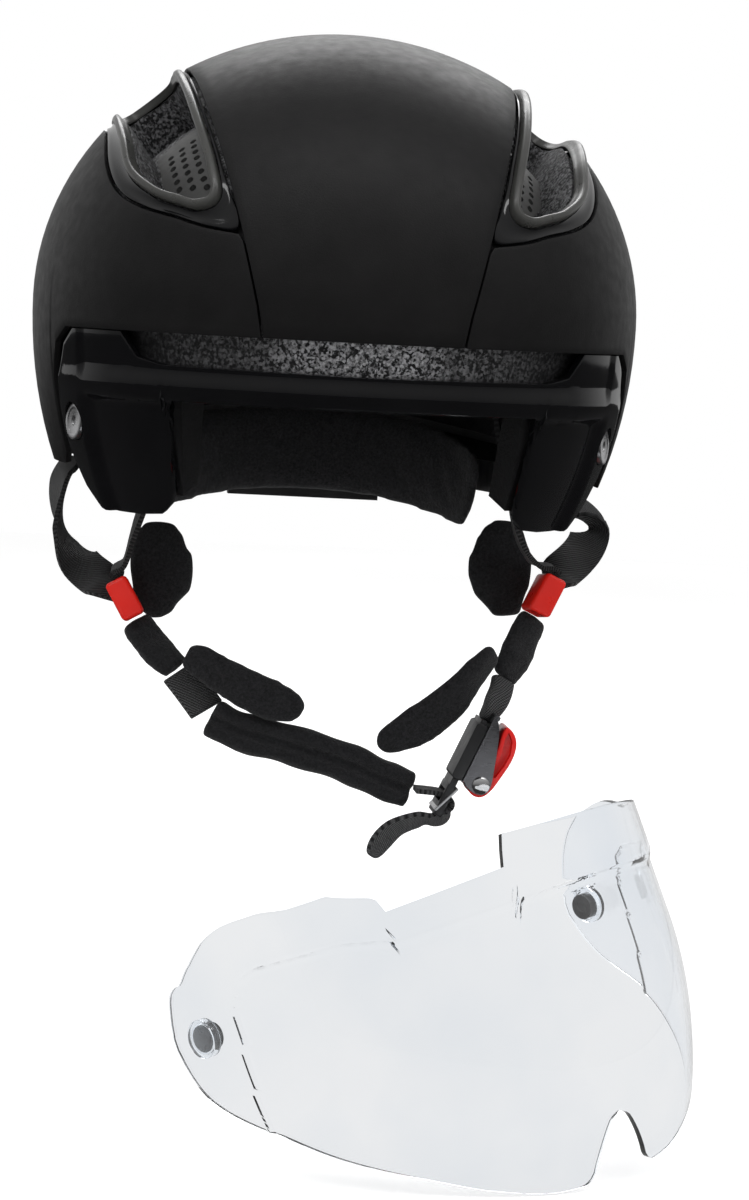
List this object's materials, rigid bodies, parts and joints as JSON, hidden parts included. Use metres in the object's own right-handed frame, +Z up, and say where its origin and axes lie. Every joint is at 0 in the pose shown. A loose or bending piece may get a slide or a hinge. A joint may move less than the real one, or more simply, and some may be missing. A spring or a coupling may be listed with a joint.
{
  "type": "bicycle helmet",
  "caption": "Rounded city bicycle helmet with front vents, a glossy brow fascia, fleece-lined straps, a ratchet chin buckle, a rear fit dial and a clear magnetic visor taken off.",
  "frame": {"origin": "middle of the head opening, level with the brow's lower edge", "axes": "+Z up through the crown, -Y towards the wearer's front, +X towards the wearer's left; the head enters from below along +Z"},
  "size_m": [0.2427, 0.3457, 0.3869],
  "materials": {
    "shell_black": "matte",
    "foam": "moulded foam with a glittering skin",
    "gloss_black": "high gloss",
    "satin_gray": "satin",
    "grille_gray": "satin",
    "steel": "satin",
    "pad_fabric": "brushed fleece",
    "webbing": "twill weave",
    "ribbed_webbing": "ribbed weave",
    "nylon_black": "satin",
    "divider_red": "satin",
    "buckle_steel": "dark satin",
    "chrome": "polished",
    "lever_red": "glossy",
    "clear_visor": "clear polycarbonate",
    "magnet_black": "coated magnet"
  },
  "bodies": {
    "helmet": {"crown_panel": "shell_black", "side_shell_right": "shell_black", "side_shell_left": "shell_black", "foam_liner": "foam", "vent_bezel_right": "gloss_black", "vent_bezel_left": "gloss_black", "vent_rim_right": "satin_gray", "vent_rim_left": "satin_gray", "vent_grille_right": "grille_gray", "vent_grille_left": "grille_gray", "rear_vent_cover_right": "gloss_black", "rear_vent_cover_left": "gloss_black", "front_fascia": "gloss_black", "magnet_seat_right": "steel", "magnet_seat_left": "steel", "brow_pad": "pad_fabric", "crown_pad": "pad_fabric", "side_pad_right": "pad_fabric", "side_pad_left": "pad_fabric", "nape_pad": "pad_fabric", "cradle_arm_right": "nylon_black", "cradle_arm_left": "nylon_black", "dial_housing": "nylon_black", "dial_pin": "steel", "strap_anchors": "nylon_black", "front_strap_right": "webbing", "front_strap_left": "webbing", "rear_strap_right": "webbing", "rear_strap_left": "webbing", "ear_pad_right": "pad_fabric", "ear_pad_left": "pad_fabric", "strap_divider_right": "divider_red", "strap_divider_left": "divider_red", "lower_strap_right": "pad_fabric", "lower_strap_left": "pad_fabric", "chin_pad_right": "pad_fabric", "chin_pad_left": "pad_fabric", "chin_web": "ribbed_webbing", "chin_sleeve": "pad_fabric", "hook_web": "ribbed_webbing", "buckle_housing": "buckle_steel", "buckle_rivet": "chrome", "lever_spring": "steel"},
    "visor": {"visor_lens": "clear_visor", "visor_magnet_right": "magnet_black", "visor_magnet_left": "magnet_black", "visor_cup_right": "clear_visor", "visor_cup_left": "clear_visor"},
    "lever": {"release_lever": "lever_red"},
    "tongue": {"ratchet_tongue": "nylon_black", "strap_tail": "webbing"},
    "dial": {"fit_dial": "nylon_black"},
    "rack_l": {"rack_left": "nylon_black"},
    "rack_r": {"rack_right": "nylon_black"}
  },
  "joints": [
    {"name": "visor_lift", "type": "slide", "parent": "helmet", "child": "visor", "axis": [0, 0, 1], "range_m": [0, 0.06]},
    {"name": "lever_hinge", "type": "hinge", "parent": "helmet", "child": "lever", "pos_m": [0.05688, -0.048, -0.13206], "axis": [0, 1, 0], "range_deg": [0, 40], "stiffness_Nm_per_rad": 0.01, "springref_deg": -28.65},
    {"name": "tongue_slide", "type": "slide", "parent": "helmet", "child": "tongue", "axis": [-0.4002, 0, -0.9164], "range_m": [0, 0.012]},
    {"name": "dial_turn", "type": "hinge", "parent": "helmet", "child": "dial", "pos_m": [0, 0.10345, -0.026], "axis": [0, 1, 0], "range_deg": [-62, 62]},
    {"name": "rack_l_slide", "type": "slide", "parent": "helmet", "child": "rack_l", "axis": [1, 0, 0], "range_m": [-0.0066, 0.0066]},
    {"name": "rack_r_slide", "type": "slide", "parent": "helmet", "child": "rack_r", "axis": [1, 0, 0], "range_m": [-0.0068, 0.0068]}
  ],
  "couplings": [
    {"joint": "dial_turn", "follows": "rack_l_slide", "rad_per_m": 160},
    {"joint": "rack_r_slide", "follows": "rack_l_slide", "ratio": -1}
  ]
}
